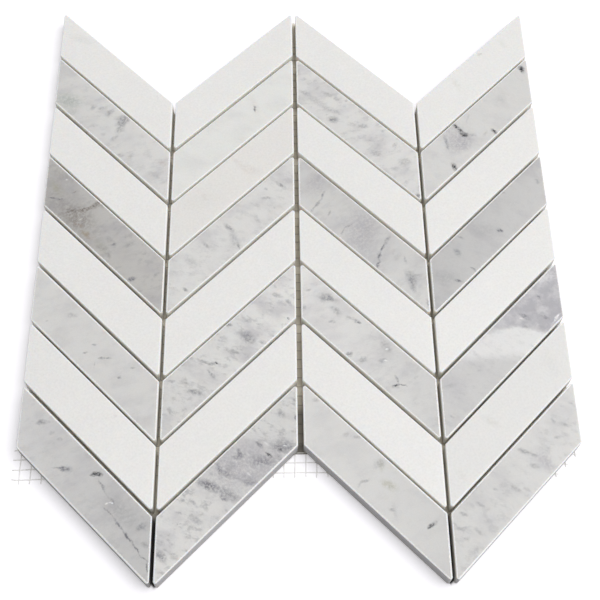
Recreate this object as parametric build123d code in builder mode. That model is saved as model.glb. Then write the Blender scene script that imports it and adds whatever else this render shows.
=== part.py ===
import os
from math import atan, cos, radians, sin, tan

from build123d import *

# A sheet of marble chevron mosaic: mitred chips in mirrored columns on a backing net.
# It lies face up. X runs across the columns, Y runs up to the top apexes, Z is up.

# Chips
chip_width = 25.4  # square to the long edges
chip_length = 105.0  # along a long edge
mitre_angle = 45.0  # between the long edges and the column joints
stone_thickness = 9.5
corner_radius = 1.1  # plan corners, worn in the tumbler
arris_width = 0.4  # eased edge round the polished face

# Laying
rows = 8
row_joint = 1.55  # square to the long edges
column_joint = 2.0
centre_joint_top = 2.2
centre_joint_bottom = 3.2
laying_wander = 0.25  # the most a hand-laid chip sits above or below its place

# Backing net
warp_pitch = 5.9  # between the threads that run along Y
weft_pitch = 5.6  # between the threads that run along X
thread_width = 0.9
thread_thickness = 0.25
net_width = 309.8
net_length = 302.8
net_shift = -0.3  # the net lies a little to the left of the stone
thread_end = 2.4  # least frayed end past the last crossing
net_bottom_reach = 18.0  # past the bottom notches
net_trim = 2.0  # cut back by this much from the stone's edge in the top notches
shortest_thread = 6.0

# Worked out from the sizes above
mitre = radians(mitre_angle)
slope = 1 / tan(mitre)
chip_run = chip_length * sin(mitre)
chip_drop = chip_length * cos(mitre)
end_cut = chip_width / sin(mitre)
row_pitch = (chip_width + row_joint) / sin(mitre)
column_height = rows * row_pitch - row_joint / sin(mitre)
splay = atan((centre_joint_bottom - centre_joint_top) / 2 / column_height)
net_thickness = 2 * thread_thickness
valley_x = centre_joint_top / 2 + chip_run + column_joint / 2
edge_x = centre_joint_top / 2 + 2 * chip_run + column_joint
apex_y = (column_height + chip_drop) / 2
bottom_notch_y = apex_y - column_height

os.makedirs("parts", exist_ok=True)


def wander(column, row):
    """How far a hand-laid chip sits from its place along the column."""
    return laying_wander * sin(2.3 * row + 1.7 * column)


def half_sheet_plane(side):
    """The underside of the stone on one half, turned so that the centre joint opens downwards."""
    return Plane(
        origin=(side * centre_joint_top / 2, apex_y, net_thickness),
        x_dir=(cos(splay), side * sin(splay), 0),
        z_dir=(0, 0, 1),
    )


def chip_corners(apex, valley, top):
    """The four corners of a chip that falls from the apex line to the valley line."""
    return [(apex, top), (valley, top - chip_drop), (valley, top - chip_drop - end_cut), (apex, top - end_cut)]


# Marble chips: columns a to d from the left, rows 1 to 8 from the top
columns = [("a", -1, "outer"), ("b", -1, "inner"), ("c", 1, "inner"), ("d", 1, "outer")]
for column, (letter, side, place) in enumerate(columns):
    if place == "inner":
        apex, valley = 0, side * chip_run
    else:
        apex, valley = side * (2 * chip_run + column_joint), side * (chip_run + column_joint)
    for row in range(rows):
        marble = "white_marble" if row % 2 == 0 else "veined_marble"
        name = f"{marble}_{letter}{row + 1}"
        with BuildPart() as chip:
            with BuildSketch(half_sheet_plane(side)) as chip_plan:
                with BuildLine():
                    Polyline(chip_corners(apex, valley, wander(column, row) - row * row_pitch), close=True)
                make_face()
                fillet(chip_plan.vertices(), radius=corner_radius)
            extrude(amount=stone_thickness)
            polished_face = chip.faces().sort_by(Axis.Z)[-1]
            chamfer(polished_face.edges(), length=arris_width)
        chip.part.label = name
        export_step(chip.part, f"parts/{name}.step")

# Backing net: two layers of threads, cut straight below and trimmed along the top zigzag
def trim_line(x):
    """Height of the net's cut top edge at a place across the sheet."""
    return apex_y - chip_drop - net_trim / sin(mitre) + abs(abs(x) - valley_x) * slope


def thread_count(length, pitch):
    """Threads that fit side by side, with a free end past the first and the last."""
    return int((length - 2 * thread_end) / pitch) + 1


net_centre = (net_shift, bottom_notch_y - net_bottom_reach + net_length / 2)
reach_x = edge_x + net_width
reach_y = apex_y + net_length
net_limits = [(-reach_x, -reach_y), (reach_x, -reach_y)]
net_limits += [(x, trim_line(x)) for x in (reach_x, valley_x, 0, -valley_x, -reach_x)]
across = (0, weft_pitch, 1, thread_count(net_length, weft_pitch))
along = (warp_pitch, 0, thread_count(net_width, warp_pitch), 1)
layers = [
    ("mesh_threads_across", 0, across, (net_width, thread_width)),
    ("mesh_threads_along", thread_thickness, along, (thread_width, net_length)),
]
for name, level, grid, thread_size in layers:
    with BuildPart() as threads:
        with BuildSketch(Plane.XY.offset(level)) as thread_plan:
            with Locations(net_centre):
                with GridLocations(*grid):
                    Rectangle(*thread_size)
            with BuildLine():
                Polyline(net_limits, close=True)
            make_face(mode=Mode.INTERSECT)
            snippets = thread_plan.faces().filter_by(lambda thread: thread.area < shortest_thread * thread_width)
            add(snippets, mode=Mode.SUBTRACT)
        extrude(amount=thread_thickness)
    threads.part.label = name
    export_step(threads.part, f"parts/{name}.step")
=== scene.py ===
from functools import cached_property
from math import atan2, cos, pi, radians, sin
from random import Random

import bmesh
import bpy
from mathutils import Matrix, Vector


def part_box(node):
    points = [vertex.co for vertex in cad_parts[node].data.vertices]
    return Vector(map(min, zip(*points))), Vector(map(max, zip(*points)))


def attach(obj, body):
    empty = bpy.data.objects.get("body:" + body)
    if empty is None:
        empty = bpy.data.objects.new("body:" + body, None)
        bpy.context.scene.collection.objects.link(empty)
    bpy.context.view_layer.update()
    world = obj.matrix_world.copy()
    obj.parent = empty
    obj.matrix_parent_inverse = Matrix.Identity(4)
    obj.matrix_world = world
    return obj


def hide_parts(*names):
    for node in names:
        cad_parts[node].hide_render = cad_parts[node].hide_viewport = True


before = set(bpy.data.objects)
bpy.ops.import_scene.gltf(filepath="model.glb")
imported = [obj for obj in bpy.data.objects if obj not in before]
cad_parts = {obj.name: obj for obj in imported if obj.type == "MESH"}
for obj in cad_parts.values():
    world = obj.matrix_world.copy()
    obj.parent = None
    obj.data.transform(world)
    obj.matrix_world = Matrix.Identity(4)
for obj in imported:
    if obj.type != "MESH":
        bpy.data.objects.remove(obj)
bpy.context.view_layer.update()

MM = 0.001

# Stone, in millimetres
ROWS = 8
CHIP_RUN = 74.246  # across a column
CHIP_DROP = 74.246  # how far a chip falls over its run
END_CUT = 35.921  # along a column joint
COLUMN_HEIGHT = 302.712
MITRE = radians(45)
NET_TOP = 0.5  # the stone lies on the net
STONE_TOP = 10.0
APEX_Y = 188.479  # the top apexes, before their corners are worn
VALLEY_X = 76.346
EDGE_X = 151.6
BOTTOM_EDGE_Y = -114.2  # the outer bottom corners

# Backing net, in millimetres on the sheet
WARP_PITCH = 5.9
WEFT_PITCH = 5.6
WARPS = 52
WEFTS = 54
NET_WIDTH = 309.8
NET_LENGTH = 302.8
NET_CENTRE = (-0.3, 19.167)
NET_BOTTOM = NET_CENTRE[1] - NET_LENGTH / 2
THREAD_WIDTH = 0.48
THREAD_THICKNESS = 0.24
THREAD_SIDES = 6
BENDS_PER_MESH = 4
TWIST = (2.1, 0.22, 0.4)  # size of a fibre bundle in the yarn
TWIST_ANGLE = radians(38)
WEFT_SEED, WARP_SEED = 11, 23
WEAVE_HEIGHT = 0.125
NET_BOW = 2.5  # the bottom of the net rides up by this much in the middle
LONG_SWAY = 0.3  # threads wander by this much over a hand's width
SHORT_SWAY = 0.2  # and by this much over a mesh or two
CURL = 0.04  # how fast a loose end bends away, times the square of its length
NET_TRIM = 2.83  # the net's top edge is this far inside the stone, along Y
LEFT_FRINGE_TOP = -100.0  # threads stand out at the left edge below this height
LOOSE_END_REACH = 2.8  # one thread at mid height stands out at the right edge
RIGHT_STUB = 3.6  # threads left standing past the stone where the right corner was trimmed
SHORTEST_THREAD = 6.0
END_SLACK = 0.5  # cut off each end, so that a bent thread keeps inside the net's width
RAGGED_SIDE = (-0.6, 1.6)  # how much shorter than the stone a trimmed thread is
RAGGED_FOOT = (0.0, 0.8)  # how much shorter than the net a thread's bottom end is

# Glue, and painted shade in the bare joints, in millimetres on the sheet
GLUE_ENDS = -150.0  # below the net the joints are bare
GLUE_FADES = 4.0
CENTRE_FOOT_SHADE = -89.5  # in the centre joint painted shade starts below this height
CENTRE_FOOT_SHADE_FADES = 3.0
CENTRE_FOOT_SHADE_SHARE = 0.5
CENTRE_FOOT_SHADE_REACH = 6.0  # to both sides of the centre joint
FIRST_WEFT_SEEN = -115.9  # in the bottom notch the glue and its painted shade run out to this thread
NOTCH_HALF_WIDTH = 5.0

# Camera, with its place in millimetres
LENS = 64.378
SENSOR = 36.0
CAMERA_PLACE = (-14.1952, -309.5977, 557.2730)
CAMERA_PITCH = radians(62.61818)
CAMERA_YAW = radians(3.04813)
CAMERA_ROLL = radians(2.39744)

# Light
SKY_LEVEL = 0.4
KEY_PLACE = (2.8, 0.3, 5.4)  # in metres, like the lamp's size and the table's
KEY_SIZE = 7.0
KEY_POWER = 303.0
PAPER_GLOW = 0.27  # keeps the table white to the camera outside the sheet's shadow
TABLE_HALF_WIDTH = 3.0


def screen(red, green, blue):
    """A colour given as it looks on a screen, 0 to 255, as the renderer takes it."""
    return tuple(((c / 255 + 0.055) / 1.055) ** 2.4 for c in (red, green, blue)) + (1.0,)


class Amount:
    """A number that nodes work out. A sum written on it adds the Math nodes."""

    def __init__(self, finish, socket):
        self.finish, self.socket = finish, socket

    def maths(self, operation, first, second):
        return self.finish.node("ShaderNodeMath", {0: first, 1: second}, operation=operation)

    def __add__(self, other):
        return self.maths("ADD", self, other)

    __radd__ = __add__

    def __mul__(self, other):
        return self.maths("MULTIPLY", self, other)

    __rmul__ = __mul__

    def __sub__(self, other):
        return self.maths("SUBTRACT", self, other)

    def __rsub__(self, other):
        return self.maths("SUBTRACT", other, self)

    def __truediv__(self, other):
        return self.maths("DIVIDE", self, other)

    def __abs__(self):
        return self.maths("ABSOLUTE", self, 0.0)


class Finish:
    """Nodes in the making, for a procedural material or for the light of the room."""

    def __init__(self, owner):
        self.owner = owner
        owner.use_nodes = True
        owner.node_tree.nodes.clear()

    @cached_property
    def place(self):
        """Where a point lies on the sheet, in metres."""
        return self.node("ShaderNodeTexCoord", {}, output="Object")

    @cached_property
    def sheet(self):
        """The same place as x, y and z in millimetres."""
        return self.parts(self.placed((0, 0, 0), 0, (MM, MM, MM)))

    @cached_property
    def seen(self):
        """1 where the camera looks, straight or in a polished surface, and 0 for light on its way."""
        rays = ("Camera", "Glossy", "Transmission")
        straight, mirrored, through = [self.node("ShaderNodeLightPath", {}, output=f"Is {ray} Ray") for ray in rays]
        return self.most(self.most(straight, mirrored), through)

    def node(self, kind, inputs, output=0, **settings):
        """Adds a node and gives one of its outputs."""
        made = self.owner.node_tree.nodes.new(kind)
        for name, value in settings.items():
            setattr(made, name, value)
        for socket, value in inputs.items():
            if isinstance(value, Amount):
                self.owner.node_tree.links.new(value.socket, made.inputs[socket])
            else:
                made.inputs[socket].default_value = value
        return Amount(self, made.outputs[output]) if made.outputs else None

    def placed(self, centre, angle, size, start=None):
        """Coordinates from a centre, turned, in units of the given size."""
        inputs = {"Vector": start or self.place, "Location": centre, "Rotation": (0, 0, angle), "Scale": size}
        return self.node("ShaderNodeMapping", inputs, vector_type="TEXTURE")

    def noise(self, where, size, detail=4.0, roughness=0.5, output=0):
        """Noise from 0 to 1, in blotches of the given size."""
        inputs = {"Vector": where, "Scale": 1 / size, "Detail": detail, "Roughness": roughness}
        return self.node("ShaderNodeTexNoise", inputs, output=output)

    def crystals(self, where, size):
        """How far a point is from the middle of its crystal."""
        return self.node("ShaderNodeTexVoronoi", {"Vector": where, "Scale": 1 / size}, output="Distance")

    def step(self, amount, low, high, start=0.0, end=1.0):
        """A smooth step from start to end while the amount goes from low to high."""
        inputs = {0: amount, 1: low, 2: high, 3: start, 4: end}
        return self.node("ShaderNodeMapRange", inputs, interpolation_type="SMOOTHSTEP")

    def least(self, first, second):
        return self.node("ShaderNodeMath", {0: first, 1: second}, operation="MINIMUM")

    def most(self, first, second):
        return self.node("ShaderNodeMath", {0: first, 1: second}, operation="MAXIMUM")

    def blend(self, share, under, over):
        """A colour, part under and part over."""
        return self.node("ShaderNodeMix", {0: share, 6: under, 7: over}, output=2, data_type="RGBA")

    def shaded(self, colour, share):
        """A colour made lighter or darker all over."""
        colour = colour if isinstance(colour, Amount) else colour[:3]
        return self.node("ShaderNodeVectorMath", {0: colour, "Scale": share}, operation="SCALE")

    def parts(self, vector):
        return [self.node("ShaderNodeSeparateXYZ", {0: vector}, output=axis) for axis in range(3)]

    def bumps(self, height, depth, strength=1.0):
        inputs = {"Height": height, "Distance": depth * MM, "Strength": strength}
        return self.node("ShaderNodeBump", inputs)

    def done(self, shader, kind="ShaderNodeOutputMaterial"):
        self.node(kind, {"Surface": shader})
        return self.owner


class Chip:
    """Where a marble chip lies, so that marks can be placed on it."""

    def __init__(self, name):
        low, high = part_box(name)
        self.x, self.y = ((low + high) / 2 / MM).xy
        self.column, self.row = name[-2], int(name[-1])
        self.falls = self.column in "ac"
        self.lean = 1 if self.falls else -1
        self.seed = ord(self.column) * 7 + self.row * 13

    def bed(self, f, turn):
        """Coordinates in millimetres for the chip's grain, taken from a slab of its own."""
        return f.placed((self.x * MM, self.y * MM, -SLAB_STEP * self.seed), radians(turn), (MM, MM, MM))

    def at(self, across, down):
        """A point of the polished face, from the left end and down from the top edge, in metres on the sheet."""
        fall = (across if self.falls else CHIP_RUN - across) * CHIP_DROP / CHIP_RUN
        x = self.x - CHIP_RUN / 2 + across
        y = self.y + (CHIP_DROP + END_CUT) / 2 - fall - down
        return Vector((x, y)) * MM


# Light in the stone
GLOW_SHARE = 0.6
GLOW_DEPTH = 3.0 * MM  # how far light runs inside the stone
GLOW_REACH = (1.0, 0.8, 0.6)  # red runs farther than blue
STONE_IOR = 1.5
RESIN_IOR = 1.5

# Which way a surface faces, by how far it is turned up: each fades in from the first value to the second
FACE_UP = (0.8, 0.97)
FACE_DOWN = (-0.4, -0.8)
FACE_SIDEWAYS = (0.5, 0.2)

# Worn edge with its painted highlight, and sawn sides, in millimetres
FROST_AND_HIGHLIGHT_FULL, FROST_AND_HIGHLIGHT_ENDS = 0.4, 1.0  # from the outline inwards
FROST_AND_HIGHLIGHT_SHARE = 0.9
FROST_AND_HIGHLIGHT_RAGGED = 0.9
LIT_WALL_TOP, LIT_WALL_ENDS = 1.2, 5.5  # painted light on the sides, from the polished face down
GLUE_LINE_FULL, GLUE_LINE_ENDS = 0.4, 2.2  # from the net upwards
OUTER_WALL_SHADE_SHARE = 0.75
BARE_WALL_SHADE_SHARES = {"a": 0.85, "b": 0.85, "c": 0.2, "d": 0.2}  # how much painted shade darkens the sides where the joints are bare
RELIEF = 0.05  # depth of the grain, of the saw marks and of the yarn's twist
SAW_LINES = (20.0, 20.0, 0.6)  # size of a saw mark along X, Y and Z

# Marks on the stone, in millimetres
STROKE_SPREAD = 2.05  # a stroke fades from its middle, so it is laid wider
STROKE_TRIM = 0.42  # taken off its half width again
STROKE_STRENGTH = 1.75  # and it is laid stronger
STROKE_CORE = 0.1  # the share of a stroke's reach that has its full strength
SWAY = 4.0  # how far the edges of marks wander
SLAB_STEP = 0.11  # metres between the slabs that the chips' grain is taken from
GRAIN_TURN = 37  # a white chip's grain is turned by this many degrees, times its seed
BED_STRETCH = (1.7, 1, 1.4)  # clouds and clots are longer along the bedding
CLOUD_STRENGTH = 0.9
MOTTLE_STRENGTH = 2.2
BAND_EDGE = ((27, 1), (63, 35))  # across and down at both ends of the pale band's upper edge
BAND_BULGE = 4.2  # that edge rises by this much in its middle
BAND_DEPTH = (9.0, 18.0)  # it fades out between these distances below its upper edge

# Colours of stone, glue, yarn and table
SNOW = screen(234, 233, 231)
FLECK = screen(208, 204, 198)
FROST_AND_HIGHLIGHT = screen(255, 255, 255)
DUST = screen(222, 219, 209)
PAINTED_LIT_WALL = screen(250, 248, 240)
OUTER_WALL_SHADES = {  # painted shade on the sides along the bottom edge of the sheet, by column
    "a": screen(138, 138, 142),
    "b": screen(190, 190, 194),
    "c": screen(182, 182, 186),
    "d": screen(168, 168, 172),
}
BAND = screen(225, 224, 223)
SMOKE = screen(192, 190, 194)
DEEP_SMOKE = screen(160, 158, 164)
GLUE = screen(206, 198, 182)
SQUEEZED_GLUE_AND_SHADE = screen(166, 160, 150)
BACKING = screen(240, 233, 218)
# Painted shade: the near black of the bare joints below the net, laid on their sides, on the yarn and on the table.
BARE_GAP_SHADE = screen(70, 68, 70)
YARN = screen(252, 250, 244)
COATED_YARN = screen(255, 254, 251)
SOAKED_YARN = screen(196, 188, 174)
BOARD = screen(174, 172, 174)
PAPER = screen(247, 245, 250)
WHITE_LIGHT = (1, 1, 1, 1)

# How each grey-veined chip looks. ground: tone of the stone. wash: how much lighter it gets from the left end to
# the right, and from the top edge to the bottom. cloud and mottle: how strong they are.
# drift: direction of the stone's bedding in degrees. band: the chip with a dark cloud and a pale band. Marks are
# strokes on the polished face, by stain: across and down at both ends, half width, strength.
GROUNDS = {
    "pale": screen(229, 229, 226),
    "pearl": screen(221, 220, 218),
    "silver": screen(216, 215, 213),
    "ash": screen(209, 208, 206),
    "fog": screen(204, 203, 202),
    "haze": screen(200, 199, 198),
    "mist": screen(196, 195, 194),
    "dusk": screen(190, 188, 185),
}
STAINS = {
    "grey": screen(120, 120, 126),
    "black": screen(38, 38, 44),
    "rust": screen(150, 120, 98),
    "umber": screen(122, 114, 107),
    "green": screen(168, 174, 168),
    "moss": screen(164, 162, 142),
    "violet": screen(150, 146, 156),
    "white": screen(246, 246, 246),
}
VEINED = {
    "a2": dict(ground="silver", wash=(0.08, -0.02), cloud=0.25, mottle=0.25, drift=15, marks={
        "grey": [(34, 11, 36.5, 5.5, 1.6, 0.28), (28, 13, 31, 9.5, 1.2, 0.2), (23, 18, 25.5, 14, 1.2, 0.18),
                 (42, 10, 45.6, 2.5, 2.5, 0.42), (41, 18, 43.5, 11, 1.8, 0.28), (38, 27, 41, 21, 1.3, 0.2),
                 (24, 30, 28, 26, 1.4, 0.14), (32, 29, 33, 27, 1.0, 0.14), (42, 34, 45, 31, 1.2, 0.2),
                 (49, 29, 51.5, 24, 1.2, 0.16), (65, 26.5, 68.5, 24.5, 1, 0.14)],
        "green": [(3, 30, 13, 23, 4.5, 0.35), (9, 34, 14, 30, 2, 0.2)],
        "rust": [(68, 14, 72, 11, 1.5, 0.1)]}),
    "a4": dict(ground="dusk", wash=(0.1, -0.02), cloud=0.4, mottle=0.35, drift=20, marks={
        "umber": [(3, 25, 30, 29, 9, 0.16), (33, 1.5, 28, 11, 1.6, 0.45), (29, 9, 21.5, 19, 1.4, 0.42),
                  (22, 17.5, 14, 26.5, 1.3, 0.4), (17, 26, 25, 22, 5.5, 0.22), (32, 3.5, 35.5, 1, 1.6, 0.3),
                  (4, 9, 14, 3, 4, 0.12), (16.5, 11, 18.5, 7, 0.6, 0.4)],
        "rust": [(24, 30, 30, 29.5, 1.5, 0.25), (20, 29, 24, 26.5, 1.2, 0.14)],
        "moss": [(24, 29.5, 29, 29.5, 1.6, 0.2), (3, 16, 10, 18, 2.2, 0.25), (33, 27, 40, 30, 2.4, 0.16)],
        "grey": [(2, 29, 8, 23.5, 0.7, 0.45), (7.5, 24, 12, 19.5, 0.6, 0.4), (53.5, 34, 57.5, 28.5, 1.2, 0.6),
                 (68, 17.5, 71, 12, 0.9, 0.35), (43, 20.5, 44.8, 18, 0.8, 0.35), (50, 15, 55, 8.5, 1.2, 0.2),
                 (35, 30, 40, 27, 1.6, 0.2), (40, 29, 42, 31, 1, 0.2), (61, 9, 63, 6, 0.8, 0.15)],
        "white": [(22.5, 24, 24, 21.5, 0.5, 0.4), (12, 6, 13.5, 5, 0.6, 0.3)]}),
    "a6": dict(ground="silver", cloud=0.2, mottle=0.12, drift=20, marks={
        "grey": [(21.5, 12, 25.5, 8, 1.4, 0.16), (36.4, 15.6, 38.4, 13.6, 0.7, 0.3), (40, 20.2, 43.5, 16.2, 0.7, 0.42),
                 (43, 16.8, 47, 13.3, 0.6, 0.42), (31, 25.6, 33.5, 22.6, 0.7, 0.3), (37.8, 28.5, 38.6, 22, 0.5, 0.16),
                 (51.6, 20, 53, 18.6, 0.8, 0.4), (58.6, 8, 60.5, 5.6, 0.7, 0.22), (9, 28, 10, 27, 0.6, 0.2)]}),
    "a8": dict(ground="fog", wash=(-0.18, 0.0), cloud=0.25, mottle=0.2, drift=25, marks={
        "grey": [(10.5, 11.4, 14, 7.6, 1.2, 0.35), (14, 8, 18, 3, 1, 0.14), (17.5, 11, 18.6, 9.6, 1, 0.2),
                 (22.5, 9.6, 23.6, 8.4, 1, 0.18), (24, 23.6, 26.5, 21.6, 1.3, 0.5), (26.2, 22, 29, 19.4, 1.6, 0.5),
                 (20, 26.6, 24, 23.5, 0.6, 0.25), (44, 8.8, 50.5, 12.4, 0.7, 0.35), (50, 12.2, 57.5, 12.8, 0.8, 0.22),
                 (48.5, 19.6, 54, 21, 0.58, 0.42), (53.5, 20.8, 60.5, 22.2, 0.62, 0.44),
                 (59.5, 21.8, 65, 24, 0.72, 0.6), (64, 24, 69, 25.2, 0.6, 0.45),
                 (68, 25.2, 73.5, 24.8, 0.58, 0.4), (72.6, 24.8, 73.4, 31, 0.6, 0.45),
                 (67.5, 13, 70.5, 7.6, 1.4, 0.3), (70, 18.6, 72.5, 17, 1.2, 0.25), (52, 15, 66, 11, 4.5, 0.12)],
        "black": [(41, 10.6, 44, 6.8, 0.9, 0.6), (43, 7.6, 46.8, 4.6, 1.0, 0.95)],
        "white": [(49.5, 17.6, 51.5, 15.4, 0.5, 0.8), (51, 15.8, 54.6, 12.3, 0.5, 0.8)]}),
    "b2": dict(ground="pale", cloud=0.12, mottle=0.06, drift=-10, marks={
        "grey": [(49.4, 14, 50.6, 18.4, 0.9, 0.45)],
        "rust": [(48, 5, 52, 24, 2, 0.06)]}),
    "b4": dict(ground="pearl", cloud=0.3, mottle=0.25, drift=-15, marks={
        "grey": [(33, 9, 37.4, 17.6, 1.5, 0.34), (36.6, 19, 41, 33, 2.2, 0.16), (20, 8, 23.4, 16.5, 1, 0.22),
                 (11, 9, 16, 20, 2.4, 0.14), (55, 12, 60.5, 17.8, 1.1, 0.26), (63.6, 9.6, 68.6, 19, 1.1, 0.4),
                 (9, 27.6, 12, 32, 0.8, 0.32), (50, 18, 53.4, 29, 1.2, 0.16), (40.4, 29, 41.6, 34.6, 0.7, 0.3),
                 (56.6, 6.6, 57.6, 9, 0.8, 0.2), (51, 13, 53.5, 19, 1.0, 0.12)]}),
    "b6": dict(ground="pearl", wash=(0.12, 0.0), cloud=0.42, mottle=0.44, drift=-20, marks={
        "grey": [(34, 0.5, 37.4, 3.6, 0.9, 0.5), (3.6, 4, 6.6, 7, 0.9, 0.3), (18.6, 6, 24.5, 14, 1, 0.32),
                 (23.6, 13, 28.6, 19, 0.9, 0.42), (28, 17, 31.6, 22, 0.8, 0.4), (24.8, 18.6, 28.4, 26.6, 1, 0.36),
                 (14, 20, 22.4, 30.4, 1.5, 0.4), (38, 20, 42.4, 26, 1, 0.3), (44.6, 17, 49.4, 25, 2.4, 0.36),
                 (60, 6, 66, 14.4, 1.1, 0.24), (69, 19, 71.4, 25, 1, 0.22), (69.4, 30.8, 70.4, 33, 0.7, 0.45),
                 (53.6, 30, 57, 34, 1, 0.3), (4, 20, 5.4, 25, 1, 0.18), (12, 10, 13, 17, 1, 0.2),
                 (43, 3, 46, 9, 1, 0.16)],
        "black": [(29, 18.4, 30.2, 20.2, 0.5, 0.7)]}),
    "b8": dict(ground="silver", wash=(-0.1, 0.0), cloud=0.4, mottle=0.58, drift=-20, marks={
        "grey": [(22, 3, 32, 18, 2.4, 0.42), (31, 15, 43, 35, 2.2, 0.34), (22.6, 5, 28.6, 14, 1.6, 0.45),
                 (31, 2, 34, 12, 1.3, 0.42), (35.6, 11.6, 37.4, 15.4, 1.2, 0.4), (39.8, 8, 45, 12.4, 1.5, 0.5),
                 (42, 5.6, 43.6, 11, 1, 0.4), (51.6, 11.6, 55, 17.6, 1, 0.45), (64, 5, 67, 12, 1.2, 0.3),
                 (50, 20, 60, 31, 2.4, 0.4), (62, 24, 71.4, 34.4, 3, 0.46), (46, 28, 52, 34.4, 1.4, 0.36),
                 (33, 22, 36.4, 28, 1, 0.42), (17, 8, 20, 13.4, 0.9, 0.3), (18, 18, 24, 28, 1.4, 0.22),
                 (1, 19, 5.4, 28.4, 1.8, 0.4), (7, 26, 12, 34, 1.4, 0.2), (72.6, 17, 73.6, 21, 0.8, 0.4)],
        "violet": [(30, 6, 62, 32, 11, 0.25)],
        "white": [(47, 24, 49, 28, 0.7, 0.3), (56, 16, 58.4, 20, 0.6, 0.3), (66, 28, 69, 31, 0.6, 0.4)],
        "black": [(57.6, 23.6, 60, 28, 0.8, 0.6), (64, 27, 66, 31, 0.7, 0.3)]}),
    "c2": dict(ground="pearl", wash=(0.02, -0.04), cloud=0.35, mottle=0.35, drift=20, marks={
        "grey": [(23.6, 8.6, 27, 6.4, 1.2, 0.2), (17.6, 11, 21.4, 8.8, 1.2, 0.22), (39.6, 14.4, 43.4, 10.6, 1.6, 0.26),
                 (63.6, 18, 67.4, 13.6, 2.2, 0.22), (20, 28.8, 24.4, 25, 1.7, 0.4), (14, 23, 28.4, 17.8, 1.6, 0.18),
                 (46, 29, 51.6, 23.6, 1.7, 0.24), (2, 24, 8.6, 21.6, 1.2, 0.2), (8, 24, 14, 22, 2, 0.16),
                 (30.4, 3.4, 32, 2, 1, 0.2), (52.6, 5, 54.6, 3.2, 0.9, 0.2), (32, 20, 38, 16, 1.4, 0.14),
                 (58, 28, 62, 25, 1.4, 0.14), (71, 36, 74, 32, 1.6, 0.4)]}),
    "c4": dict(ground="ash", wash=(0.0, 0.06), cloud=0.3, mottle=0.2, drift=30, marks={
        "grey": [(53.6, 4, 50, 14, 1.1, 0.3), (50.4, 13, 47.2, 22, 0.8, 0.5), (47.4, 20.6, 45.8, 29, 0.8, 0.52),
                 (46.6, 28, 44.8, 35.4, 0.9, 0.6), (15.8, 10, 13.4, 20, 0.8, 0.34), (13.6, 18.6, 9, 29, 0.8, 0.36),
                 (9.4, 28, 6.4, 35, 0.7, 0.26), (32, 17.4, 27, 25.4, 0.7, 0.24), (27.2, 24.6, 24.6, 33, 0.6, 0.32),
                 (18.4, 22, 17.4, 25.6, 0.8, 0.24), (63, 20, 66, 24, 2.2, 0.36), (63.4, 24, 66.4, 29.6, 1.4, 0.28),
                 (66, 19, 69.6, 15, 0.8, 0.2), (73, 27, 73.4, 33, 0.9, 0.34), (61.6, 10, 62, 15, 0.7, 0.2)],
        "violet": [(40, 2, 34, 34, 8, 0.22), (14, 2, 8, 16, 6, 0.16)]}),
    "c6": dict(ground="silver", wash=(-0.25, 0.0), cloud=0.25, mottle=0.2, drift=15, marks={
        "grey": [(12.6, 10.4, 16, 7, 2.4, 0.38), (15, 8, 20.6, 4.6, 1.3, 0.28), (17.6, 12.4, 22, 11.6, 1.6, 0.26),
                 (30.6, 7.6, 33.4, 6.2, 1.1, 0.56), (26, 9.4, 30, 7.4, 1.1, 0.2), (45.6, 5, 49, 9, 1.8, 0.22),
                 (16.6, 22.4, 18.8, 20, 1, 0.26), (2.6, 15.6, 6.4, 11.6, 0.7, 0.24), (43.2, 19.6, 47, 16, 1.2, 0.3),
                 (32.6, 30.4, 35.2, 26.6, 1.4, 0.34), (25.2, 34, 27.2, 31.6, 1.2, 0.4), (1, 30, 2, 26.6, 1, 0.24),
                 (50.6, 27.8, 53.4, 24.4, 0.9, 0.6), (53, 24.8, 57.8, 21, 0.6, 0.6), (51.4, 20.6, 53.2, 25, 0.8, 0.4),
                 (62, 12, 64, 9, 0.8, 0.12)],
        "black": [(51.2, 27.6, 52.6, 25.6, 0.6, 0.6), (49.6, 29.4, 52.4, 27, 1.1, 0.2)],
        "white": [(45.6, 17.4, 48.6, 15, 0.6, 0.5), (46.8, 9.6, 47.8, 8.4, 0.6, 0.5)]}),
    "c8": dict(ground="ash", wash=(-0.16, 0.0), cloud=0.15, mottle=0.1, drift=20, marks={
        "grey": [(21.6, 9.4, 24.4, 5.4, 1.1, 0.18), (38.6, 9.4, 41.4, 4.6, 2, 0.2), (29.6, 27.6, 34.6, 20.6, 0.9, 0.26),
                 (28, 33, 30.4, 25, 0.8, 0.16), (44.6, 27.6, 46, 26.2, 0.9, 0.26), (46, 23, 48, 30, 1, 0.1),
                 (27.6, 4, 30, 2, 1.1, 0.2), (6, 4, 8, 2.2, 1.1, 0.2), (64.6, 17, 69, 9, 1.2, 0.3)],
        "moss": [(41, 16, 48, 12.4, 1.9, 0.3), (40, 5, 41.5, 9, 1.6, 0.2)],
        "black": [(64, 18, 66, 14.6, 0.9, 0.6), (65.6, 15.4, 67.8, 11.4, 0.9, 0.36)]}),
    "d2": dict(ground="silver", cloud=0.15, mottle=0.12, drift=-20, marks={
        "grey": [(15.8, 4, 17.6, 15.6, 1.1, 0.34), (16, 12, 18, 15.6, 1.0, 0.35), (31.6, 18.6, 35.4, 22.6, 1.1, 0.2),
                 (46, 29, 48.6, 35.4, 1.1, 0.6), (69, 2, 71, 8, 1.6, 0.5), (30, 8, 33, 4, 0.8, 0.12),
                 (40, 28, 43, 27, 0.9, 0.14), (51, 8, 57.4, 20, 1.2, 0.08)],
        "violet": [(17, 2, 26, 16, 6, 0.2), (19, 18, 31, 22, 4, 0.24)],
        "black": [(21.6, 0.5, 25, 8, 1.1, 0.62), (24.4, 6.6, 27, 13, 1.05, 0.68), (26.4, 12.4, 29.8, 17.2, 1.35, 0.8),
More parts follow.
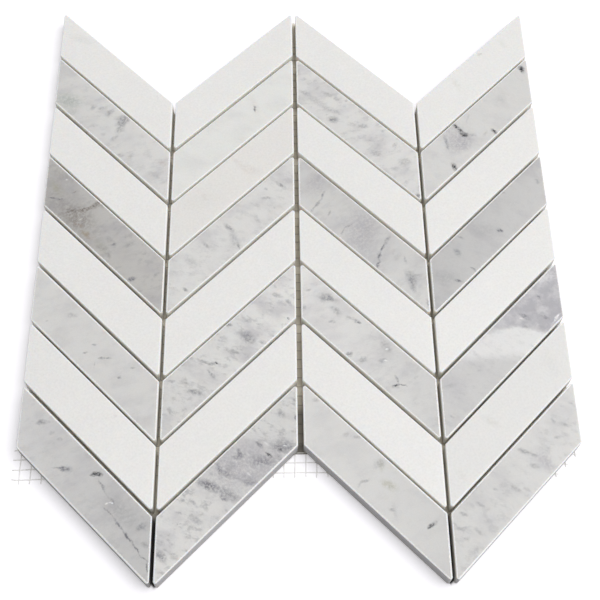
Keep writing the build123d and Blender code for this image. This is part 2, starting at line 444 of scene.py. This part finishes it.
                  (18.8, 27.6, 21, 35, 1.25, 0.95), (46.6, 30.4, 48, 33.4, 0.9, 0.55),
                  (69.4, 2.6, 70.4, 7.8, 1.1, 0.75)]}),
    "d4": dict(ground="mist", wash=(0.11, 0.0), cloud=0.35, mottle=0.15, drift=-25, marks={
        "grey": [(15.6, 9.6, 17.6, 14.4, 1.5, 0.32), (17, 1, 21.4, 7.6, 0.7, 0.26), (42, 21.8, 44.8, 25.6, 1, 0.6),
                 (14.2, 27.4, 17, 32.4, 0.9, 0.46), (23.4, 28.6, 26.2, 34.6, 0.7, 0.4), (69, 13, 70.4, 16.4, 1, 0.24),
                 (46.6, 0.4, 48.6, 2.4, 0.9, 0.24), (4, 16, 14, 27, 4, 0.12), (30, 10, 40, 20, 4, 0.1)]}),
    "d6": dict(ground="haze", cloud=0.25, mottle=0.2, drift=-25, band=True, marks={
        "grey": [(48.6, 8.4, 53.6, 16.6, 1.1, 0.45), (49.6, 17, 52, 20.6, 1, 0.3), (60, 7.4, 62.4, 13.4, 1, 0.4),
                 (60.6, 21.4, 65.4, 29, 0.9, 0.36), (20, 3, 22, 8, 1, 0.14), (2, 7, 9, 12, 1.2, 0.14),
                 (4, 26, 6, 29, 0.8, 0.2), (22, 17, 23.4, 19, 0.7, 0.16)],
        "white": [(67, 33, 73, 32.4, 0.8, 0.6), (49, 11.4, 51, 14, 0.5, 0.4),
                  (62, 1, 73, 5, 4, 0.16)]}),
    "d8": dict(ground="ash", wash=(0.07, 0.0), cloud=0.25, mottle=0.3, drift=-20, marks={
        "grey": [(4.6, 5, 8, 9.4, 1.1, 0.3), (0.6, 5.6, 2.4, 9.6, 0.9, 0.24), (0.4, 9, 10, 17.4, 1, 0.24),
                 (14, 8.8, 17.4, 14, 1, 0.22), (23.6, 10.6, 26, 14, 0.9, 0.24), (39.6, 5.6, 44, 12, 1.4, 0.34),
                 (43.6, 11, 49.4, 18.6, 1, 0.28), (45.6, 19.6, 48.4, 23.6, 1.2, 0.26), (32.6, 17.6, 38, 27, 1.1, 0.28),
                 (11.6, 20, 15, 26.4, 1, 0.22), (8, 28.6, 13, 32, 1.8, 0.16), (58.6, 6.6, 61, 11.4, 1, 0.2),
                 (64, 14, 68.6, 21.4, 1.2, 0.22), (70, 8, 73, 14, 1, 0.16), (60.4, 19, 62, 21.4, 0.9, 0.2),
                 (40, 27.6, 42.4, 31, 1, 0.18)],
        "violet": [(49, 16, 56, 33, 3, 0.24)]}),
}

# The white chips that differ from plain snow
WHITE = {
    "a1": dict(marks={"green": [(5, 14, 20, 6, 2.6, 0.08)]}),
    "a7": dict(wash=(0.05, 0.02)),
    "b3": dict(ground=screen(229, 227, 224), marks={
        "rust": [(36, 1, 43, 16, 1.5, 0.07), (42, 14, 52, 29, 2.6, 0.06), (18, 9, 22, 19, 1.2, 0.05)],
        "moss": [(8, 8, 30, 24, 5, 0.03)]}),
    "d1": dict(marks={
        "moss": [(42.4, 3, 46, 5.6, 0.9, 0.25), (25, 5, 28, 18, 1.8, 0.08), (58, 7, 62, 17, 1.6, 0.06)]}),
    "d7": dict(ground=screen(226, 225, 223), marks={
        "moss": [(22, 7, 30, 20, 1.8, 0.09), (5, 20, 9, 29, 1.4, 0.06)],
        "grey": [(60, 6, 65, 24, 3, 0.04)]}),
}


def stroke(f, where, chip, mark):
    """How much of the ground's colour is left under one stroke of a mark: 1 outside it."""
    across_0, down_0, across_1, down_1, half_width, strength = mark
    start, end = chip.at(across_0, down_0), chip.at(across_1, down_1)
    run = end - start
    middle = (start + end) / 2
    half_width = half_width * STROKE_SPREAD - STROKE_TRIM
    strength = min(1.0, strength * STROKE_STRENGTH)
    size = (run.length / 2 + half_width * MM, half_width * MM, 1.0)
    local = f.placed((middle.x, middle.y, 0), atan2(run.y, run.x), size, where)
    distance = f.node("ShaderNodeVectorMath", {0: local}, output="Value", operation="LENGTH")
    return f.step(distance, STROKE_CORE, 1.0, 1 - strength, 1.0)


def edges_of(f, chip):
    """How near a point is to the chip's plan outline, and how high it is, in millimetres."""
    x, y, z = f.parts(f.placed((chip.x * MM, chip.y * MM, 0), 0, (MM, MM, MM)))
    to_ends = CHIP_RUN / 2 - abs(x)
    to_sides = (END_CUT / 2 - abs(y + x * (chip.lean * CHIP_DROP / CHIP_RUN))) * sin(MITRE)
    return f.least(to_ends, to_sides), z


def stone(f, chip, colour, grain, rough_top):
    """Finishes a chip: polished face, frosted arris with a painted highlight, dusty sawn sides with painted light and
    shade, and a glued underside.
    """
    facing = f.parts(f.node("ShaderNodeTexCoord", {}, output="Normal"))[2]
    to_edge, height = edges_of(f, chip)
    fine = f.noise(f.place, 0.9 * MM, 3.0, 0.6)
    top = f.step(facing, *FACE_UP)
    under = f.step(facing, *FACE_DOWN)
    side = (1 - top) * (1 - under)
    flat_side = f.step(abs(facing), *FACE_SIDEWAYS)

    # The rim of the polished face and the arris are painted white: partly frosted wear, partly a painted highlight of
    # the polished edge.
    ragged = to_edge + (fine - 0.5) * FROST_AND_HIGHLIGHT_RAGGED
    frost_and_highlight = f.step(ragged, FROST_AND_HIGHLIGHT_ENDS, FROST_AND_HIGHLIGHT_FULL) * top * FROST_AND_HIGHLIGHT_SHARE
    arris = side * (1 - flat_side)
    colour = f.blend(frost_and_highlight + arris, colour, FROST_AND_HIGHLIGHT)
    colour = sawn_side(f, chip, colour, flat_side, height, fine)
    smear = f.step(f.noise(f.place, 16 * MM, 4.0, 0.6), 0.4, 0.6)
    colour = f.blend(under * (0.35 + 0.3 * smear), colour, GLUE)

    saw_lines = f.noise(f.placed((0, 0, 0), 0, Vector(SAW_LINES) * MM), 1.0, 2.0, 0.6)
    rough = rough_top + side * 0.3 + flat_side * 0.2 + under * (0.4 - 0.25 * smear)
    relief = grain * 0.35 + (flat_side + under) * (saw_lines + fine) * 0.9
    shader = f.node("ShaderNodeBsdfPrincipled", {
        "Base Color": colour,
        "Roughness": rough,
        "IOR": STONE_IOR,
        "Subsurface Weight": GLOW_SHARE,
        "Subsurface Radius": GLOW_REACH,
        "Subsurface Scale": GLOW_DEPTH,
        "Normal": f.bumps(relief, RELIEF, 0.6),
    })
    return f.done(shader)


def sawn_side(f, chip, colour, side, height, fine):
    """Dust on the sawn sides, painted light near the face, painted shade in the bare joints and on the bottom row's
    outer sides, and glue at the foot.
    """
    stain = f.step(f.noise(f.place, 7 * MM, 3.0, 0.6), 0.35, 0.7)
    colour = f.blend(side * (0.35 + 0.3 * stain), colour, DUST)
    # The sides are painted lighter near the polished face: painted light.
    deep = f.step(height + (fine - 0.5) * 1.5, STONE_TOP - LIT_WALL_TOP, STONE_TOP - LIT_WALL_ENDS)
    colour = f.blend(side * (1 - deep) * 0.7, colour, PAINTED_LIT_WALL)
    outer = f.step(past_outline(f), -1.2, -0.5)
    # Painted shade on the sides of the bare joints, darker in columns a and b.
    colour = f.blend(side * bare_gap(f) * (1 - outer) * BARE_WALL_SHADE_SHARES[chip.column], colour, BARE_GAP_SHADE)
    # The bottom row's outer sides are painted darker by column: painted shade.
    if chip.row == ROWS:
        colour = f.blend(side * outer * OUTER_WALL_SHADE_SHARE, colour, OUTER_WALL_SHADES[chip.column])
    glue_line = f.step(height + (fine - 0.5) * 2.0, NET_TOP + GLUE_LINE_ENDS, NET_TOP + GLUE_LINE_FULL)
    return f.blend(side * glue_line * 0.5, colour, GLUE)


def past_outline(f):
    """How far a point lies outside the sheet's outline, in millimetres: below zero inside it."""
    x, y, _ = f.sheet
    zigzag = abs(abs(x) - VALLEY_X) + (APEX_Y - CHIP_DROP)
    past_ends = f.most(y - zigzag, zigzag - COLUMN_HEIGHT - y)
    return f.most(past_ends, abs(x) - EDGE_X)


def bare_gap(f):
    """Where the joints run on below the net, with no glue in them, and the centre joint's foot: the places that get
    painted shade.
    """
    x, y, _ = f.sheet
    bare = f.step(y, GLUE_ENDS + GLUE_FADES, GLUE_ENDS - GLUE_FADES)
    low = f.step(y, CENTRE_FOOT_SHADE + CENTRE_FOOT_SHADE_FADES, CENTRE_FOOT_SHADE - CENTRE_FOOT_SHADE_FADES)
    centre_shade = f.step(abs(x), CENTRE_FOOT_SHADE_REACH + 2.0, CENTRE_FOOT_SHADE_REACH) * low
    return f.most(bare, centre_shade * CENTRE_FOOT_SHADE_SHARE)


def white_marble(chip):
    """Even white marble of fine crystals."""
    f = Finish(bpy.data.materials.new(f"white_marble_{chip.column}{chip.row}"))
    look = WHITE.get(chip.column + str(chip.row), {})
    bed = chip.bed(f, GRAIN_TURN * chip.seed % 180)
    grain = f.noise(bed, 1.1, 4.0, 0.65)
    cells = f.crystals(bed, 1.5)
    haze = f.noise(bed, 17.0, 3.0, 0.5)
    fleck = f.step(f.noise(bed, 4.5, 5.0, 0.6), 0.66, 0.76)
    colour = f.blend(fleck * 0.25, look.get("ground", SNOW), FLECK)
    if "marks" in look:
        colour = marked(f, swayed(f, bed), bed, chip, look["marks"], colour)
    tone = 0.87 + 0.16 * grain + 0.06 * cells + 0.04 * haze
    colour = f.shaded(colour, tone + wash(f, chip, *look.get("wash", (0, 0))))
    return stone(f, chip, colour, grain, 0.3 + 0.1 * cells)


def veined_marble(chip):
    """Grey marble with soft clouds, mottling and the marks of its own slab."""
    look = VEINED[chip.column + str(chip.row)]
    f = Finish(bpy.data.materials.new(f"veined_marble_{chip.column}{chip.row}"))
    bed = chip.bed(f, look["drift"])
    long_bed = f.placed((0, 0, 0), 0, BED_STRETCH, bed)
    grain = f.noise(bed, 0.8, 3.0, 0.7)
    cloud = f.step(f.noise(long_bed, 13.0, 4.0, 0.6), 0.42, 0.72)
    patches = f.step(f.noise(bed, 9.0, 3.0, 0.55), 0.38, 0.62)
    clots = f.step(f.noise(long_bed, 3.2, 5.0, 0.65), 0.46, 0.74)
    specks = f.step(f.noise(bed, 1.2, 3.0, 0.6), 0.56, 0.74)
    mottle = patches * clots * (0.5 + 0.9 * specks)
    colour = f.blend(cloud * (CLOUD_STRENGTH * look["cloud"]), GROUNDS[look["ground"]], STAINS["violet"])
    where = swayed(f, bed)
    if look.get("band"):
        colour = dark_cloud_with_pale_band(f, where, chip, colour)
    colour = f.blend(mottle * (MOTTLE_STRENGTH * look["mottle"]), colour, STAINS["grey"])
    colour = marked(f, where, bed, chip, look["marks"], colour)
    colour = f.shaded(colour, 0.93 + 0.16 * grain + wash(f, chip, *look.get("wash", (0, 0))))
    return stone(f, chip, colour, grain, 0.24 + 0.12 * mottle)


def swayed(f, bed):
    """Coordinates that wander a little, so that marks get ragged edges."""
    sway = f.noise(bed, 5.0, 5.0, 0.62, output="Color")
    sway = f.node("ShaderNodeVectorMath", {0: sway, 1: (0.5, 0.5, 0.5)}, operation="SUBTRACT")
    sway = f.node("ShaderNodeVectorMath", {0: sway, "Scale": SWAY * MM}, operation="SCALE")
    return f.node("ShaderNodeVectorMath", {0: f.place, 1: sway}, operation="ADD")


def marked(f, where, bed, chip, stains, colour):
    """Lays a chip's own marks over its colour."""
    broken = f.step(f.noise(bed, 1.5, 4.0, 0.7), 0.36, 0.6, 0.35, 1.15)
    for stain, marks in stains.items():
        left = 1.0
        for mark in marks:
            left = left * stroke(f, where, chip, mark)
        colour = f.blend((1 - left) * broken, colour, STAINS[stain])
    return colour


def wash(f, chip, across, down):
    """A slow change of tone over a chip, from minus a half to plus a half of what is asked."""
    x, y, _ = f.parts(f.placed((chip.x * MM, chip.y * MM, 0), 0, (CHIP_RUN * MM, END_CUT * MM, 1)))
    return across * x - down * (y + chip.lean * CHIP_DROP / END_CUT * x)


def dark_cloud_with_pale_band(f, where, chip, colour):
    """A violet-grey cloud that fills the chip's upper right, with a pale band along its edge."""
    start, end = [chip.at(*spot) for spot in BAND_EDGE]
    run = end - start
    local = f.placed((start.x, start.y, 0), atan2(run.y, run.x), (MM, MM, 1.0), where)
    along, above_line, _ = f.parts(local)
    half = run.length / MM / 2
    from_middle = (along - half) / half
    above = above_line - BAND_BULGE * (1 - from_middle * from_middle)
    farther = f.step(along + above * 1.2, 2.0, 32.0, 0.4, 1.0)
    deeper = f.step(f.noise(where, 7 * MM, 4.0, 0.65), 0.3, 0.62) * farther
    dark = f.step(above, -1.0, 3.0)
    fades_from, fades_to = BAND_DEPTH
    band = f.step(above_line, -fades_to, -fades_from) * f.step(above, 1.5, -1.5)
    colour = f.blend(band * 0.85, colour, BAND)
    colour = f.blend(dark * (0.5 + 0.4 * deeper), colour, SMOKE)
    return f.blend(dark * deeper * 0.7, colour, DEEP_SMOKE)


def net_yarn():
    """Glass-fibre yarn, twisted and coated in cream resin, with squeezed glue and painted shade near the stone and
    painted shade in the bare joints.
    """
    f = Finish(bpy.data.materials.new("glass_fibre_yarn"))
    twist = f.noise(f.placed((0, 0, 0), TWIST_ANGLE, Vector(TWIST) * MM), 1.0, 3.0, 0.6)
    coat = f.step(f.noise(f.place, 9 * MM, 3.0, 0.6), 0.35, 0.7)
    colour = f.blend(coat, YARN, COATED_YARN)
    past = past_outline(f)
    soaked = f.step(past, 0.8, -0.5)
    colour = f.blend(soaked * (0.75 + 0.2 * coat), colour, SOAKED_YARN)
    # Just outside the stone the yarn is painted darker: squeezed glue and painted shade.
    squeezed_and_shaded = f.step(past, -0.5, 0.3) * f.step(past + coat * 0.8, 1.9, 0.8)
    colour = f.blend(squeezed_and_shaded * 0.6, colour, SQUEEZED_GLUE_AND_SHADE)
    # Painted shade on the yarn in the bare joints.
    colour = f.blend(soaked * bare_gap(f), colour, BARE_GAP_SHADE)
    colour = f.shaded(colour, 0.95 + 0.08 * twist)
    shader = f.node("ShaderNodeBsdfPrincipled", {
        "Base Color": colour,
        "Roughness": 0.42 + 0.2 * twist,
        "IOR": RESIN_IOR,
        "Normal": f.bumps(twist, RELIEF, 0.4),
    })
    return f.done(shader)


def white_table():
    """A grey board, cream under the sheet, painted dark as shade in the bare joints and darker with glue and shade in
    the bottom notch, that the camera sees white outside the sheet and its shadow.
    """
    f = Finish(bpy.data.materials.new("white_table"))
    tooth = f.noise(f.place, 1.5 * MM, 4.0, 0.6)
    x, y, _ = f.sheet
    joint_foot = f.step(y, BOTTOM_EDGE_Y + 5.0, BOTTOM_EDGE_Y + 3.0)
    above_net_edge = f.step(y, FIRST_WEFT_SEEN - 0.4, FIRST_WEFT_SEEN + 0.1)
    # In the bottom notch the table is painted darker: glue and painted shade.
    notch_glue_and_shade = f.step(abs(x), NOTCH_HALF_WIDTH + 1.0, NOTCH_HALF_WIDTH) * (joint_foot * above_net_edge)
    open_table = f.step(past_outline(f), -2.4, -0.2) * (1 - notch_glue_and_shade)
    glued = f.blend(notch_glue_and_shade * 0.85, BACKING, SQUEEZED_GLUE_AND_SHADE)
    # Painted shade on the table under the bare joints.
    under_sheet = f.blend(bare_gap(f), glued, BARE_GAP_SHADE)
    grey = f.shaded(f.blend(open_table, under_sheet, BOARD), 0.97 + 0.06 * tooth)
    board = f.node("ShaderNodeBsdfDiffuse", {"Color": grey})
    paper = f.node("ShaderNodeBsdfDiffuse", {"Color": f.shaded(PAPER, 0.985 + 0.015 * tooth)})
    glow = f.node("ShaderNodeEmission", {"Color": WHITE_LIGHT, "Strength": PAPER_GLOW})
    white = f.node("ShaderNodeAddShader", {0: paper, 1: glow})
    return f.done(f.node("ShaderNodeMixShader", {0: f.seen * open_table, 1: board, 2: white}))


def thread(threads, along_x, start, end, place):
    """One straight yarn of six sides, cut into short lengths so that it can bend."""
    length = end - start
    pitch = WARP_PITCH if along_x else WEFT_PITCH
    middle = (start + end) / 2
    flat = THREAD_THICKNESS / THREAD_WIDTH
    if along_x:
        spot, turn, section = (middle, place, 0), "Y", (flat, 1, 1, 1)
    else:
        spot, turn, section = (place, middle, 0), "X", (1, flat, 1, 1)
    spot = Matrix.Translation(spot) @ Matrix.Rotation(pi / 2, 4, turn) @ Matrix.Diagonal(section)
    older = len(threads.verts)
    made = bmesh.ops.create_cone(threads, cap_ends=True, segments=THREAD_SIDES, radius1=THREAD_WIDTH / 2,
                                 radius2=THREAD_WIDTH / 2, depth=length, matrix=spot)["verts"]
    # Only the edges along the thread, not the short ones round its ends
    long_edges = [e for e in {e for v in made for e in v.link_edges} if e.calc_length() > length * 0.9]
    cuts = max(1, round(length / pitch * BENDS_PER_MESH) - 1)
    bmesh.ops.subdivide_edges(threads, edges=long_edges, cuts=cuts)
    threads.verts.ensure_lookup_table()
    return threads.verts[older:]


def trim_line(x):
    """Height of the net's cut top edge."""
    return APEX_Y - CHIP_DROP - NET_TRIM + abs(abs(x) - VALLEY_X)


def pieces_below_trim(y, draw):
    """Lengths of a thread across the sheet that the trimmed edges leave, as pairs of ends."""
    left = NET_CENTRE[0] - NET_WIDTH / 2 + END_SLACK
    right = NET_CENTRE[0] + NET_WIDTH / 2 - END_SLACK
    left_slack, right_slack = draw.uniform(*RAGGED_SIDE), draw.uniform(*RAGGED_SIDE)
    if y > LEFT_FRINGE_TOP:
        left = max(left, left_slack - EDGE_X)
    if abs(y) > LOOSE_END_REACH:
        right = min(right, EDGE_X - right_slack)
    if y < BOTTOM_EDGE_Y:
        right = min(right, EDGE_X + (y - BOTTOM_EDGE_Y) + RIGHT_STUB)
    gap = y - trim_line(VALLEY_X)
    if gap <= 0:
        return [(left, right)]
    lengths = [(left, -VALLEY_X - gap), (-VALLEY_X + gap, VALLEY_X - gap), (VALLEY_X + gap, right)]
    return [(a, b) for a, b in lengths if b - a > SHORTEST_THREAD]


def bend_net(vertex, along_x, number, first_cross, last_cross, curl):
    """Weaves a point of a thread over and under, and bends the net as the glued one is."""
    x, y, z = vertex.co
    own = x if along_x else y
    pitch = WARP_PITCH if along_x else WEFT_PITCH
    side = 1 if along_x else -1
    z += NET_TOP / 2 + WEAVE_HEIGHT * side * cos(pi * (own - first_cross) / pitch + pi * number)
    past = max(0.0, first_cross - own, own - last_cross)
    loose = CURL * curl * past * past
    # Slow waves and quick ones, with their sizes in millimetres
    dx = LONG_SWAY * sin(y / 31 + x / 47) + SHORT_SWAY * sin(y / 9.5 + x / 83)
    dy = LONG_SWAY * sin(x / 29 - y / 53) + SHORT_SWAY * sin(x / 11.5 + 1.3)
    from_top = 1 - (y - NET_BOTTOM) / NET_LENGTH
    dy += NET_BOW * (1 - (x / EDGE_X) ** 2) * max(0.0, from_top)
    vertex.co = (x + dx, y + dy + loose, z) if along_x else (x + dx + loose, y + dy, z)


def net_layer(name, along_x, node):
    """All the yarns that run one way, woven with the others."""
    draw = Random(WEFT_SEED if along_x else WARP_SEED)
    first_x = NET_CENTRE[0] - WARP_PITCH * (WARPS - 1) / 2
    first_y = NET_CENTRE[1] - WEFT_PITCH * (WEFTS - 1) / 2
    last_x = first_x + WARP_PITCH * (WARPS - 1)
    last_y = first_y + WEFT_PITCH * (WEFTS - 1)
    threads = bmesh.new()
    for number in range(WEFTS if along_x else WARPS):
        if along_x:
            place = first_y + number * WEFT_PITCH
            lengths, crossings = pieces_below_trim(place, draw), (first_x, last_x)
        else:
            place = first_x + number * WARP_PITCH
            foot = NET_BOTTOM + draw.uniform(*RAGGED_FOOT)
            if place > 0:
                foot = max(foot, BOTTOM_EDGE_Y - (EDGE_X - place) - RIGHT_STUB)
            lengths, crossings = [(foot, min(trim_line(place), NET_BOTTOM + NET_LENGTH))], (first_y, last_y)
        for start, end in lengths:
            curl = draw.uniform(-1.0, 1.0)
            for vertex in thread(threads, along_x, start, end, place):
                bend_net(vertex, along_x, number, *crossings, curl)
    bmesh.ops.scale(threads, vec=(MM, MM, MM), verts=threads.verts)
    bmesh.ops.recalc_face_normals(threads, faces=threads.faces)
    for face in threads.faces:
        face.smooth = True
    mesh = bpy.data.meshes.new(name)
    threads.to_mesh(mesh)
    threads.free()
    piece = bpy.data.objects.new(name, mesh)
    bpy.context.scene.collection.objects.link(piece)
    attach(piece, "root")
    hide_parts(node)
    return piece


def lay_table():
    """The flat table that the sheet lies on."""
    table = bmesh.new()
    bmesh.ops.create_grid(table, x_segments=1, y_segments=1, size=TABLE_HALF_WIDTH)
    mesh = bpy.data.meshes.new("table")
    table.to_mesh(mesh)
    table.free()
    floor = bpy.data.objects.new("table", mesh)
    bpy.context.scene.collection.objects.link(floor)
    floor.data.materials.append(white_table())


def set_camera():
    """The photograph's viewpoint: above the bottom edge, a little left of the middle."""
    pitch, yaw, roll = CAMERA_PITCH, CAMERA_YAW, CAMERA_ROLL
    ahead = Vector((sin(yaw) * cos(pitch), cos(yaw) * cos(pitch), -sin(pitch)))
    level = Vector((cos(yaw), -sin(yaw), 0))
    rise = level.cross(ahead)
    right = level * cos(roll) + rise * sin(roll)
    up = rise * cos(roll) - level * sin(roll)
    camera = bpy.data.cameras.new("camera")
    camera.lens, camera.sensor_width = LENS, SENSOR
    stand = bpy.data.objects.new("camera", camera)
    turn = Matrix((right, up, -ahead)).transposed().to_4x4()
    stand.matrix_world = Matrix.Translation(Vector(CAMERA_PLACE) * MM) @ turn
    bpy.context.scene.collection.objects.link(stand)
    bpy.context.scene.camera = stand


def set_light():
    """A large soft lamp above and to the right of the sheet, and an even white room."""
    lamp = bpy.data.lights.new("soft_key", "AREA")
    lamp.shape, lamp.size, lamp.energy = "DISK", KEY_SIZE, KEY_POWER
    key = bpy.data.objects.new("soft_key", lamp)
    aim = Vector(KEY_PLACE)
    key.matrix_world = Matrix.Translation(aim) @ aim.to_track_quat("Z", "Y").to_matrix().to_4x4()
    bpy.context.scene.collection.objects.link(key)
    room = Finish(bpy.data.worlds.new("room"))
    level = SKY_LEVEL + (1.0 - SKY_LEVEL) * room.seen
    walls = room.node("ShaderNodeBackground", {"Color": WHITE_LIGHT, "Strength": level})
    bpy.context.scene.world = room.done(walls, "ShaderNodeOutputWorld")
    bpy.context.scene.view_settings.view_transform = "Standard"


set_camera()
set_light()
lay_table()
for name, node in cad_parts.items():
    if "marble" not in name:
        continue
    chip = Chip(name)
    material = white_marble(chip) if name.startswith("white") else veined_marble(chip)
    node.data.materials.clear()
    node.data.materials.append(material)
yarn = net_yarn()
for layer in (("woven_wefts", True, "mesh_threads_across"), ("woven_warps", False, "mesh_threads_along")):
    net_layer(*layer).data.materials.append(yarn)
